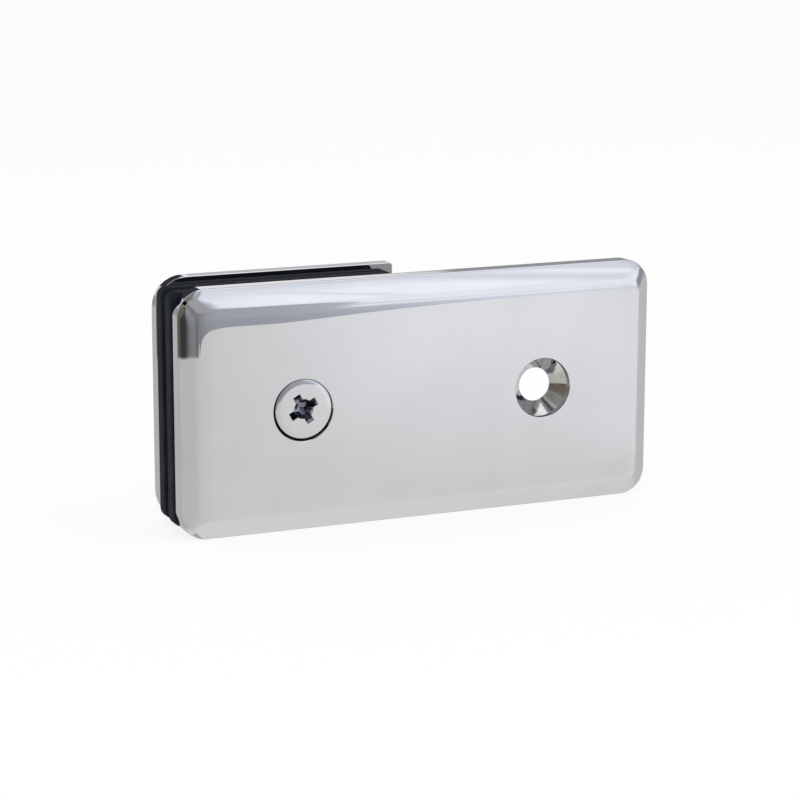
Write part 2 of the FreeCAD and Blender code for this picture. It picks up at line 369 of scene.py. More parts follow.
def quarter_round(steps: int) -> Profile:
    """A quarter of a round of radius 1, from an end face to a wall: how far out, how far along."""
    angles = (QUARTER_TURN * step / steps for step in range(steps + 1))
    return [(math.sin(angle), 1 - math.cos(angle)) for angle in angles]


def apply_modifier(piece: Piece, kind: str, **settings: object) -> None:
    """Adds a modifier to a piece and applies it at once.

    Args:
        piece: what it shapes.
        kind: the modifier's type.
        settings: its properties.
    """
    take_up(piece)
    bpy.ops.object.modifier_add(type=kind)
    modifier = piece.modifiers[-1]
    for name, setting in settings.items():
        setattr(modifier, name, setting)
    bpy.ops.object.modifier_apply(modifier=modifier.name)


def carve(piece: Piece, tool: Piece, cut: Cut = Cut.AWAY) -> None:
    """Cuts a tool out of a piece, or joins it on, and uses the tool up.

    Args:
        piece: what is shaped.
        tool: the solid that shapes it.
        cut: whether the tool's room is taken away or added.
    """
    apply_modifier(piece, "BOOLEAN", operation=cut.value, object=tool, solver="EXACT")
    bpy.data.objects.remove(tool)


def smooth(piece: Piece, crease: float) -> None:
    """Smooths a piece's shading up to a crease angle, with its flats kept flat.

    Args:
        piece: what is smoothed.
        crease: the angle, in degrees, past which an edge stays sharp.
    """
    take_up(piece)
    bpy.ops.object.shade_smooth_by_angle(angle=math.radians(crease))
    apply_modifier(
        piece, "WEIGHTED_NORMAL", keep_sharp=True, weight=FLAT_WEIGHT, mode="FACE_AREA")


class Value:
    """A number that varies over a surface; arithmetic on it adds Math nodes."""

    def __init__(self, shader: "Shader", socket: bpy.types.NodeSocket) -> None:
        """Wraps an output socket of a shader's tree."""
        self.shader = shader
        self.socket = socket

    def _maths(self, operation: str, *terms: object) -> "Value":
        """Adds one Math node and returns its result."""
        sockets = dict(enumerate(terms))
        return self.shader.node("ShaderNodeMath", {"operation": operation}, sockets)[0]

    def __add__(self, other: object) -> "Value":
        """This plus other."""
        return self._maths("ADD", self, other)

    def __sub__(self, other: object) -> "Value":
        """This minus other."""
        return self._maths("SUBTRACT", self, other)

    def __rsub__(self, other: object) -> "Value":
        """Other minus this."""
        return self._maths("SUBTRACT", other, self)

    def __mul__(self, other: object) -> "Value":
        """This times other."""
        return self._maths("MULTIPLY", self, other)

    def __truediv__(self, other: object) -> "Value":
        """This divided by other."""
        return self._maths("DIVIDE", self, other)

    def __rtruediv__(self, other: object) -> "Value":
        """Other divided by this."""
        return self._maths("DIVIDE", other, self)

    def turned_from(self, other: object) -> "Value":
        """The angle, in radians, whose sine this is to its cosine other."""
        return self._maths("ARCTAN2", self, other)

    def root(self) -> "Value":
        """The square root of this."""
        return self._maths("SQRT", self)

    def arcsine(self) -> "Value":
        """The angle, in radians, whose sine this is."""
        return self._maths("ARCSINE", self)

    def wrapped(self, low: float, high: float) -> "Value":
        """This, brought between low and high by whole spans."""
        return self._maths("WRAP", self, high, low)

    def above(self, low: float, high: float) -> "Value":
        """Rises smoothly from 0 at low to 1 at high."""
        sockets = {"Value": self, "From Min": low, "From Max": high}
        return self.shader.node(
            "ShaderNodeMapRange", {"interpolation_type": "SMOOTHSTEP"}, sockets)[0]

    def between(self, low: float, high: float, blur: float) -> "Value":
        """Is 1 from low to high and 0 elsewhere, with a soft step at each end."""
        return self.above(low - blur, low + blur) - self.above(high - blur, high + blur)

    __radd__ = __add__
    __rmul__ = __mul__


class Shader:
    """The node tree of a material or a world, emptied and built up again."""

    def __init__(self, owner: bpy.types.Material | bpy.types.World) -> None:
        """Takes over the owner's node tree.

        Args:
            owner: the material or the world.
        """
        owner.use_nodes = True
        self.tree = owner.node_tree
        self.tree.nodes.clear()

    def node(
        self, kind: str, settings: dict | None = None, sockets: dict | None = None
    ) -> list[Value]:
        """Adds a node.

        Args:
            kind: its type.
            settings: its properties, set first. A colour ramp's stops are a list of place and
                colour under the name stops.
            sockets: what each of its input sockets, by name or place, holds or is linked to.

        Returns:
            Its output sockets, in order.
        """
        made = self.tree.nodes.new(kind)
        for name, setting in (settings or {}).items():
            if name == "stops":
                self._fill_ramp(made.color_ramp, setting)
            else:
                setattr(made, name, setting)
        for name, given in (sockets or {}).items():
            if isinstance(given, Value):
                self.tree.links.new(given.socket, made.inputs[name])
            else:
                made.inputs[name].default_value = given
        return [Value(self, socket) for socket in made.outputs]

    @staticmethod
    def _fill_ramp(ramp: bpy.types.ColorRamp, stops: Stops) -> None:
        """Gives a colour ramp its stops.

        Args:
            ramp: the ramp.
            stops: its colours, each with its place from 0 to 1.
        """
        while len(ramp.elements) < len(stops):
            ramp.elements.new(1.0)
        for element, (place, colour) in zip(ramp.elements, stops):
            element.position = place
            element.color = (*colour, 1.0)

    def mix(self, share: object, first: object, second: object) -> Value:
        """A colour that goes from first to second as share goes from 0 to 1."""
        colours = {"Factor": share, 6: self._colour(first), 7: self._colour(second)}
        return self.node("ShaderNodeMix", {"data_type": "RGBA"}, colours)[2]

    def ramp(self, where: Value, low: float, high: float, stops: Stops) -> Value:
        """A colour that follows a number.

        Args:
            where: the number.
            low: the least that it can be.
            high: the most that it can be.
            stops: the colours, each with the number that it stands at.

        Returns:
            The colour.
        """
        places = [((place - low) / (high - low), colour) for place, colour in stops]
        share = (where - low) / (high - low)
        return self.node("ShaderNodeValToRGB", {"stops": places}, {0: share})[0]

    @staticmethod
    def _colour(given: object) -> object:
        """A link as it is, or three numbers with an alpha of 1."""
        return given if isinstance(given, Value) else (*given, 1.0)

    def place(self) -> tuple[Value, Value, Value, Value]:
        """The piece's own coordinates as a vector, then as x, y and z."""
        where = self.node("ShaderNodeTexCoord")[3]
        return where, *self.node("ShaderNodeSeparateXYZ", None, {0: where})

    def noise(self, where: Value, scale: float, detail: float) -> Value:
        """A soft random number from 0 to 1.

        Args:
            where: the coordinates that it is read at.
            scale: how many of its features there are in a metre.
            detail: how many finer layers lie over the first.

        Returns:
            The number.
        """
        sockets = {"Vector": where, "Scale": scale, "Detail": detail}
        return self.node("ShaderNodeTexNoise", None, sockets)[0]

    def bump(self, height: Value, distance: float) -> Value:
        """A normal that follows a height from 0 to 1, where 1 stands for a distance in metres."""
        return self.node("ShaderNodeBump", None, {"Height": height, "Distance": distance})[0]

    def surface(self, **inputs: object) -> None:
        """Ends the tree in a Principled surface.

        Args:
            inputs: what its sockets hold or are linked to, with an underscore for a space.
        """
        sockets = {name.replace("_", " "): given for name, given in inputs.items()}
        shaded = self.node("ShaderNodeBsdfPrincipled", None, sockets)[0]
        self.node("ShaderNodeOutputMaterial", None, {"Surface": shaded})


@dataclass(frozen=True)
class PolishedChrome:
    """Bright plating over a polished casting, with the faint waves that the wheel leaves.

    A pattern is given as how many of its features there are in a metre, and how many finer layers
    lie over the first.

    Attributes:
        name: the material's name.
        tint: the colour of its reflections.
        dulled: the share of that colour that the dull patches keep.
        dull: the patches' pattern.
        dull_from_to: where in it a patch begins, and where it is full.
        roughness: how blurred the reflections are at their clearest.
        haze: how much more blurred they are in a patch.
        haze_from_to: where in the pattern that begins, and where it is full.
        waves: the waves' pattern.
        wave: the height of the waves, in metres.
        shade: the colour of a painted shade on the part that sinks into the countersink, where
            its reflections darken.
        shade_from: the y, in metres, past which that painted shade lies.
        shade_blur: over how much it fades in, in metres.
        grazing: how bright its flattest reflections are, beside those of a pure metal.
        cones: the x and z of the axes of its countersinks, which the tool left streaky.
        cone_from, cone_to: the y, in metres, where their cones begin and end.
        cone_mouth: their largest radius, in metres.
        cone_blur: over how much the streaks fade at those places, in metres.
        cone_haze: how much more blurred the cones are.
        streaks: the streaks' pattern, round a circle of radius 1.
        streak: the height of the streaks, in metres.
        swirl: how far that pattern moves on for each metre of a cone's radius.
        stain: the colour of the reflections in the deepest streaks.
        stain_from_to: how deep a streak is where it begins to take that colour, and where it has.
        stained: how much of it they take.
    """

    name: str
    tint: Colour = (0.63, 0.635, 0.65)
    dulled: float = 0.97
    dull: Pair = (90.0, 3.0)
    dull_from_to: Pair = (0.35, 0.7)
    roughness: float = 0.012
    haze: float = 0.012
    haze_from_to: Pair = (0.4, 0.75)
    waves: Pair = (45.0, 1.0)
    wave: float = 0.0000012
    shade: Colour = (0.2, 0.21, 0.25)
    shade_from: float = 1.0
    shade_blur: float = 0.5 * MM
    grazing: Colour = (0.78, 0.78, 0.78)
    cones: Sequence[Pair] = ()
    cone_from: float = -4.45 * MM
    cone_to: float = -1.7 * MM
    cone_mouth: float = 6.3 * MM
    cone_blur: float = 0.05 * MM
    cone_haze: float = 0.05
    streaks: Pair = (9.0, 4.0)
    streak: float = 0.000022
    swirl: float = 60.0
    stain: Colour = (0.3, 0.28, 0.24)
    stain_from_to: Pair = (0.5, 0.72)
    stained: float = 0.6

    def _cones(self, shader: Shader, x: Value, y: Value, z: Value) -> tuple[Value, Value]:
        """Where the streaky cones are, and how high their streaks stand there.

        Args:
            shader: the material's shader.
            x, y, z: the piece's own coordinates.

        Returns:
            Two numbers from 0 to 1.
        """
        inside, height = y * 0.0, y * 0.0
        for across, up in self.cones:
            right, over = x - across, z - up
            radius = (right * right + over * over).root()
            within = 1.0 - radius.above(self.cone_mouth - self.cone_blur, self.cone_mouth)
            here = within * y.between(self.cone_from, self.cone_to, self.cone_blur)
            spoke = shader.node("ShaderNodeCombineXYZ", None, {
                0: right / radius, 1: over / radius, 2: radius * self.swirl})[0]
            inside = inside + here
            height = height + shader.noise(spoke, *self.streaks) * here
        return inside, height

    def material(self) -> bpy.types.Material:
        """Builds the material.

        Returns:
            The material.
        """
        made = bpy.data.materials.new(self.name)
        shader = Shader(made)
        where, x, y, z = shader.place()
        patches = shader.noise(where, *self.dull)
        waves = shader.noise(where, *self.waves)
        dull = tuple(self.dulled * part for part in self.tint)
        plated = shader.mix(patches.above(*self.dull_from_to), self.tint, dull)
        inside, streaks = self._cones(shader, x, y, z)
        height = waves * self.wave + streaks * self.streak
        deep = streaks.above(*self.stain_from_to) * inside * self.stained
        bright = shader.mix(deep, plated, self.stain)
        # Painted shade: past shade_from the reflections darken towards shade, where the screw sinks
        # into its hole.
        sunk_shade = y.above(self.shade_from, self.shade_from + self.shade_blur)
        shader.surface(
            Base_Color=shader.mix(sunk_shade, bright, self.shade),
            Metallic=1.0,
            Roughness=(
                patches.above(*self.haze_from_to) * self.haze + inside * self.cone_haze
                + self.roughness),
            Normal=shader.bump(height / self.streak, self.streak),
            Specular_Tint=(*self.grazing, 1.0),
        )
        return made


@dataclass(frozen=True)
class SoftRubber:
    """Dense black rubber with a fine moulded grain and a little dust.

    Attributes:
        name: the material's name.
        dark: its colour.
        dusty: the colour where dust lies.
        dust: the dust's pattern, as features in a metre and finer layers.
        dust_from_to: where in it the dust begins, and where it is full.
        edge_highlight: the colour of a painted highlight along the pad's edge on the glass side,
            standing in for the light that its rounded edge catches.
        edge_highlight_share: how much of that colour the edge has at least, and how much more in
            the dust.
        glass_side: the y of that edge on the front pad, in metres.
        rub, highlight_blur: how far the painted highlight reaches to each side, and over how much
        it fades.
        roughness: how matt the rubber is at least, and how much more in the dust.
        grain: the grain's pattern.
        grain_height: its height, in metres.
        gloss: the share of a plain plastic's gloss.
    """

    name: str
    dark: Colour = (0.012, 0.0145, 0.021)
    dusty: Colour = (0.019, 0.0225, 0.031)
    dust: Pair = (160.0, 4.0)
    dust_from_to: Pair = (0.4, 0.7)
    edge_highlight: Colour = (0.055, 0.06, 0.075)
    edge_highlight_share: Pair = (0.4, 0.6)
    glass_side: float = 2.85 * MM
    highlight_reach: float = 0.12 * MM
    highlight_blur: float = 0.06 * MM
    roughness: Pair = (0.55, 0.2)
    grain: Pair = (5200.0, 2.0)
    grain_height: float = 0.00003
    gloss: float = 0.1

    def material(self) -> bpy.types.Material:
        """Builds the material.

        Returns:
            The material.
        """
        made = bpy.data.materials.new(self.name)
        shader = Shader(made)
        where, _, y, _ = shader.place()
        patches = shader.noise(where, *self.dust)
        grain = shader.noise(where, *self.grain)
        dusted = shader.mix(patches.above(*self.dust_from_to), self.dark, self.dusty)
        # Painted highlight: a lighter band along the pad's edge at glass_side, with more of it
        # where dust lies.
        edge = y.between(self.glass_side - self.highlight_reach, self.glass_side + self.highlight_reach, self.highlight_blur)
        least, more = self.edge_highlight_share
        matt, dull = self.roughness
        shader.surface(
            Base_Color=shader.mix(edge * (patches * more + least), dusted, self.edge_highlight),
            Roughness=patches * dull + matt,
            Normal=shader.bump(grain, self.grain_height),
            Specular_IOR_Level=self.gloss,
        )
        return made


@dataclass(frozen=True)
class MouldedPlastic:
    """Dark nylon with the faint sheen of its mould.

    Attributes:
        name: the material's name.
        colour: its colour.
        brightest: how many times brighter it is where the mould has worn it most.
        patches, grain: the patterns of those places and of its grain, as features in a metre and
            finer layers.
        roughness: how matt it is at least, and how much more in those places.
        grain_height: the height of its grain, in metres.
    """

    name: str
    colour: Colour = (0.02, 0.021, 0.024)
    brightest: float = 1.5
    patches: Pair = (400.0, 3.0)
    grain: Pair = (2600.0, 2.0)
    roughness: Pair = (0.4, 0.15)
    grain_height: float = 0.00001

    def material(self) -> bpy.types.Material:
        """Builds the material.

        Returns:
            The material.
        """
        made = bpy.data.materials.new(self.name)
        shader = Shader(made)
        where, *_ = shader.place()
        patches = shader.noise(where, *self.patches)
        lighter = tuple(self.brightest * part for part in self.colour)
        matt, dull = self.roughness
        shader.surface(
            Base_Color=shader.mix(patches, self.colour, lighter),
            Roughness=patches * dull + matt,
            Normal=shader.bump(shader.noise(where, *self.grain), self.grain_height),
        )
        return made


@dataclass
class Hole:
    """A countersunk hole through the front plate.

    Attributes:
        throat: the radius of its narrowest place.
        straight: how long that place is.
        relief: how much wider the hole is again at the rear.
        mouth: the radius of its mouth.
        land: how deep the straight rim is above the cone.
        lip: how far the polish rounds the edge of the mouth.
        bend: where the middle of that rounding lies, as a share of it.
        steps: faces round it.
    """

    throat: float = 3.45 * MM
    straight: float = 0.25 * MM
    relief: float = 1.0 * MM
    mouth: float = 6.25 * MM
    land: float = 0.9 * MM
    lip: float = 0.18 * MM
    bend: float = 0.35
    steps: int = 128

    def cutter(self, centre: Pair, face: float, rear: float, name: str) -> Piece:
        """The solid that cuts it.

        Args:
            centre: the x and z of its axis.
            face: the y of the plate's front face.
            rear: the y of its rear face.
            name: what the cutter is called.

        Returns:
            The cutter.
        """
        throat = face + self.land + (self.mouth - self.throat)
        above, below = face - self.mouth, rear + self.relief
        rim, flare = self.mouth + self.lip, self.throat + self.relief
        return turned(name, [
            (0, above), (rim + self.mouth / 8, above), (rim + self.mouth / 8, face - self.lip / 2),
            (rim, face - self.lip / 8),
            (self.mouth + self.lip * self.bend, face + self.lip * self.bend),
            (self.mouth, face + self.lip), (self.mouth, face + self.land),
            (self.throat, throat), (self.throat, throat + self.straight),
            (flare, rear), (flare, below), (0, below),
        ], centre, self.steps)


@dataclass
class BevelledPlate:
    """A cast plate: straight walls, a bevel all round, and a face that its polish has softened.

    Attributes:
        name: what the piece is called.
        outline: its sides and corners.
        inner: the y of its flat inner face.
        facing: which way its polished face looks.
        wall: how far its walls go before the bevel.
        thickness: from its inner face to its polished face.
        bevel_side, bevel_end: how wide the bevel is at top and bottom, and at the ends.
        bevel_rows: rows of faces in the bevel.
        camber: how far the bevel bulges.
        face_radius: the corners where the bevel meets the face.
        inner_edge, shoulder, ridge: how far the edges are rounded at the inner face, between wall
            and bevel, and between bevel and face.
        edge_steps: faces across the shoulder, and across the ridge.
        crown: how far the face rises from its rim to its middle.
        crown_reach: how far in from the rim that rise slows down.
        crown_rings: rings of faces in the crown.
        crown_start: how wide the first ring is, as a share of that reach.
        mitre: how widely two bevels run into each other at a corner's rim, as a share of a bevel.
        mitre_spread: how much more widely they do so at the face.
        mitre_rise: the share of a bevel over which the corner's round rim turns into the mitre.
        mitre_unit: how much of the face counts as far as a bevel is wide.
        straight: the share of a side, each way from its middle, that shows the bevel's profile.
        twins: how near to each other two points of that profile may lie.
        corner_steps: edges round a corner.
        side_cuts: how often its top and bottom, and how often its ends, are divided.
    """

    name: str
    outline: Outline
    inner: float
    facing: Facing
    wall: float
    thickness: float
    bevel_side: float = 4.3 * MM
    bevel_end: float = 3.2 * MM
    bevel_rows: int = 6
    camber: float = 0.05 * MM
    face_radius: float = 1.6 * MM
    inner_edge: float = 0.15 * MM
    shoulder: float = 0.28 * MM
    ridge: float = 0.55 * MM
    edge_steps: int = 8
    crown: float = 0.1 * MM
    crown_reach: float = 0.8 * MM
    crown_rings: int = 20
    crown_start: float = 0.0125
    mitre: float = 0.3
    mitre_spread: float = 0.75
    mitre_rise: float = 0.22
    mitre_unit: float = 3.75 * MM
    straight: float = 0.125
    twins: float = 0.03 * MM
    corner_steps: int = 36
    side_cuts: tuple[int, int] = (120, 54)

    @property
    def outer(self) -> float:
        """The y of the middle of the polished face."""
        return self.inner + self.facing.value * self.thickness

    def build(self) -> Piece:
        """Models the plate, without its holes or boss.

        Returns:
            The plate.
        """
        away = self.facing.value
        shoulder = self.inner + away * self.wall
        rim = self.outer - away * self.crown
        work = Workpiece(self.name)
        work.rounded_face(self.outline, self.inner, self.corner_steps, self.side_cuts)
        work.extrude(away * self.wall)
        top = self.outline.inside(self.bevel_end, self.bevel_side, self.face_radius)
        work.rounded_face(top, rim, self.corner_steps, self.side_cuts)
        work.bridge(shoulder, rim, away * self.camber, self.bevel_rows)
        work.round_edges(rim, self.ridge, self.edge_steps)
        self._raise_crown(work, top, rim)
        self._grind_corners(work)
        work.round_picked(self.shoulder, self.edge_steps, lambda point: (
            self._past_wall(point) and self.outline.carries(point)))
        work.round_edges(self.inner, self.inner_edge, 1)
        return work.close()

    def _past_wall(self, point: Vector) -> bool:
        """Whether a point belongs to the polished side rather than to the wall's inner edge."""
        return abs(point.y - self.inner) > self.wall / 2

    def _grind_corners(self, work: Workpiece) -> None:
        """Grinds the bevels flat across the rounded corners, where they meet in a soft mitre.

        Each point of the polished side gets the height that the bevels have as far inside, so the
        straight stretches stay as they are, and so does the rim.

        Args:
            work: the plate, in edit mode, with its bevels and crown.
        """
        mesh = bmesh.from_edit_mesh(work.piece.data)
        (across, up), (width, height) = self.outline.middle, self.outline.spans
        points = [point for point in mesh.verts if self._past_wall(point.co)]
        over_end = self._profile(
            (self.outline.insets(point.co)[0], point.co.y) for point in points
            if abs(point.co.z - up) < height * self.straight)
        over_side = self._profile(
            (self.outline.insets(point.co)[1], point.co.y) for point in points
            if abs(point.co.x - across) < width * self.straight)
        shoulder = self.inner + self.facing.value * self.wall
        drop = self.outer - self.facing.value * self.crown - shoulder
        moved = []
        for point in points:
            end, side = self.outline.insets(point.co)
            by_end, by_side = self._share(end, self.bevel_end), self._share(side, self.bevel_side)
            mean = 2 * by_end * by_side / max(by_end + by_side, TOUCH)
            spread = self.mitre + self.mitre_spread * mean
            near = max(spread - abs(by_end - by_side), 0.0) / spread
            share = min(by_end, by_side) - spread * near ** 3 / 6
            lean = self._ease(0.5 + 0.5 * (by_end - by_side) / spread)
            levels = (
                self._level(over_end, self._reach(share, self.bevel_end)),
                self._level(over_side, self._reach(share, self.bevel_side)))
            ground = self._ease((point.co.y - shoulder) / drop / self.mitre_rise)
            level = levels[0] * (1 - lean) + levels[1] * lean
            moved.append((point, point.co.y * (1 - ground) + level * ground))
        for point, level in moved:
            point.co.y = level
        bmesh.update_edit_mesh(work.piece.data)

    @staticmethod
    def _ease(share: float) -> float:
        """Rises smoothly from 0 at 0 to 1 at 1, and stays there."""
        share = min(max(share, 0.0), 1.0)
        return share * share * (3 - 2 * share)

    def _share(self, inset: float, bevel: float) -> float:
        """How far in a point lies, where 1 is the ridge between a bevel and the face."""
        return inset / bevel if inset < bevel else 1 + (inset - bevel) / self.mitre_unit

    def _reach(self, share: float, bevel: float) -> float:
        """The inset that a share stands for."""
        return share * bevel if share < 1 else bevel + (share - 1) * self.mitre_unit

    def _profile(self, found: Iterable[Pair]) -> Profile:
        """Sorts the points of a profile by their insets, and leaves out near twins.

        Args:
            found: its points, each an inset and a height.

        Returns:
            The profile.
        """
        profile = []
        for inset, level in sorted(found):
            if not profile or inset - profile[-1][0] > self.twins:
                profile.append((inset, level))
        return profile

    @staticmethod
    def _level(profile: Profile, inset: float) -> float:
        """The height of a profile at an inset, on a smooth curve through its points.

        Args:
            profile: its points, each an inset and a height.
            inset: where the height is wanted.

        Returns:
            The height.
        """
        last = len(profile) - 1
        after = min(max(bisect.bisect_left(profile, (inset,)), 1), last)
        slopes = []
        for place in (after - 1, after):
            before, behind = profile[max(place - 1, 0)], profile[min(place + 1, last)]
            here = profile[place]
            spans = here[0] - before[0], behind[0] - here[0]
            rises = here[1] - before[1], behind[1] - here[1]
            rates = [rise / span if span else 0.0 for rise, span in zip(rises, spans)]
            if all(spans):
                slopes.append((rates[0] * spans[1] + rates[1] * spans[0]) / sum(spans))
            else:
                slopes.append(sum(rates))
        (near, low), (far, high) = profile[after - 1], profile[after]
        reach = far - near
        part = min(max((inset - near) / reach, 0.0), 1.0)
        curve = BevelledPlate._ease(part)
        return (
            low * (1 - curve) + high * curve
            + reach * part * (1 - part) * (slopes[0] * (1 - part) - slopes[1] * part))

    def _raise_crown(self, work: Workpiece, top: Outline, rim: float) -> None:
        """Lifts the face from its rim by rings that flatten out towards the middle.

        Args:
            work: the plate, in edit mode.
            top: the outline of its face before the ridge was rounded.
            rim: the y of that outline.
        """
        away = self.facing.value
        work.pick_level(Pick.FACES, rim)
        width, height = (span - 2 * self.ridge for span in top.spans)
        across, up = top.middle
        last_reach, last_level = 0.0, rim
        for ring in range(1, self.crown_rings + 1):
            reach = self.crown_reach * self.crown_start * ring ** 2
            level = self.outer - away * self.crown * math.exp(-reach / self.crown_reach)
            if ring == self.crown_rings:
                level = self.outer
            work.extrude(level - last_level)
            shrink = [(span - 2 * reach) / (span - 2 * last_reach) for span in (width, height)]
            bpy.ops.transform.resize(
                value=(shrink[0], 1, shrink[1]), center_override=(across, level, up))
            last_reach, last_level = reach, level


@dataclass
class Boss:
    """The tapped boss on the back plate's inner face.

    Attributes:
        radius: its outside.
        bore: the radius of the hole in it.
        chamfer: the lead-in at its end.
        skin: how far its bar reaches into the plate, and how much of the plate its hole leaves.
        steps: faces round it.
    """

    radius: float = 5.0 * MM
    bore: float = 3.06 * MM
    chamfer: float = 0.5 * MM
    skin: float = 1.0 * MM
    steps: int = 96

    def raise_on(
        self, casting: Piece, centre: Pair, inner: float, outer: float, end: float
    ) -> None:
        """Joins the boss to a plate and drills it.

        Args:
            casting: the plate.
            centre: the x and z of its axis.
            inner: the y of the plate's inner face.
            outer: the y of the plate's polished face.
            end: the y of the boss's end.
        """
        foot, floor, lead = inner + self.skin, outer - self.skin, end + self.chamfer
        carve(casting, turned("boss_bar", [
            (0, foot), (self.radius, foot), (self.radius, lead),
            (self.radius - self.chamfer, end), (0, end),
        ], centre, self.steps), Cut.JOIN)
        above = end - self.chamfer
        carve(casting, turned("boss_drill", [
            (0, floor), (self.bore, floor), (self.bore, lead),
            (self.bore + 2 * self.chamfer, above), (0, above),
        ], centre, self.steps))


@dataclass
class SoftPad:
    """A rubber pad with softly rounded edges and a hole for the bush.

    Attributes:
        name: what the piece is called.
        node: the solid that it stands for.
        centre: the x and z of the hole.
        hole: the hole's radius.
        hole_steps: faces round it.
        corner: the radius of its corners.
        corner_steps: edges round a corner.
        edge: how far its edges are rounded.
        edge_steps: faces across that rounding.
    """

    name: str
    node: str
    centre: Pair
    hole: float = 7.3 * MM
    hole_steps: int = 96
    corner: float = 2.0 * MM
    corner_steps: int = 16
    edge: float = 0.35 * MM
    edge_steps: int = 4

    def build(self) -> Piece:
        """Models the pad in the room of its solid.

        Returns:
            The pad.
        """
        low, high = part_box(self.node)
        outline = Outline(low.x, high.x, low.z, high.z, self.corner, self.corner)
        work = Workpiece(self.name)
        work.rounded_face(outline, low.y, self.corner_steps)
        work.extrude(high.y - low.y)
        for level in (low.y, high.y):
            work.round_edges(level, self.edge, self.edge_steps)
        pad = work.close()
        start, end, wide = low.y - self.edge, high.y + self.edge, self.hole + 2 * self.edge
        carve(pad, turned("pad_drill", [
            (0, start), (wide, start), (self.hole, low.y + self.edge),
            (self.hole, high.y - self.edge), (wide, end), (0, end),
        ], self.centre, self.hole_steps))
        return pad


@dataclass
class Bush:
    """The plastic bush that keeps the boss off the glass.

    Attributes:
        name: what the piece is called.
        node: the solid that it stands for.
        centre: the x and z of its axis.
        bore: the radius inside.
        edge: the rounding at its ends.
        edge_steps: faces across that rounding.
        steps: faces round it.
    """

    name: str
    node: str
    centre: Pair
    bore: float = 5.08 * MM
    edge: float = 0.5 * MM
    edge_steps: int = 6
    steps: int = 96

    def build(self) -> Piece:
        """Models the bush in the room of its solid.

        Returns:
            The bush.
        """
        low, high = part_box(self.node)
        outer = (high.x - low.x) / 2
        rounding = [
            (outer - self.edge * (1 - out), self.edge * along)
            for out, along in quarter_round(self.edge_steps)]
        return turned(self.name, [
            (self.bore, low.y), *((radius, low.y + along) for radius, along in rounding),
            *((radius, high.y - along) for radius, along in reversed(rounding)),
            (self.bore, high.y), (self.bore, low.y),
        ], self.centre, self.steps)


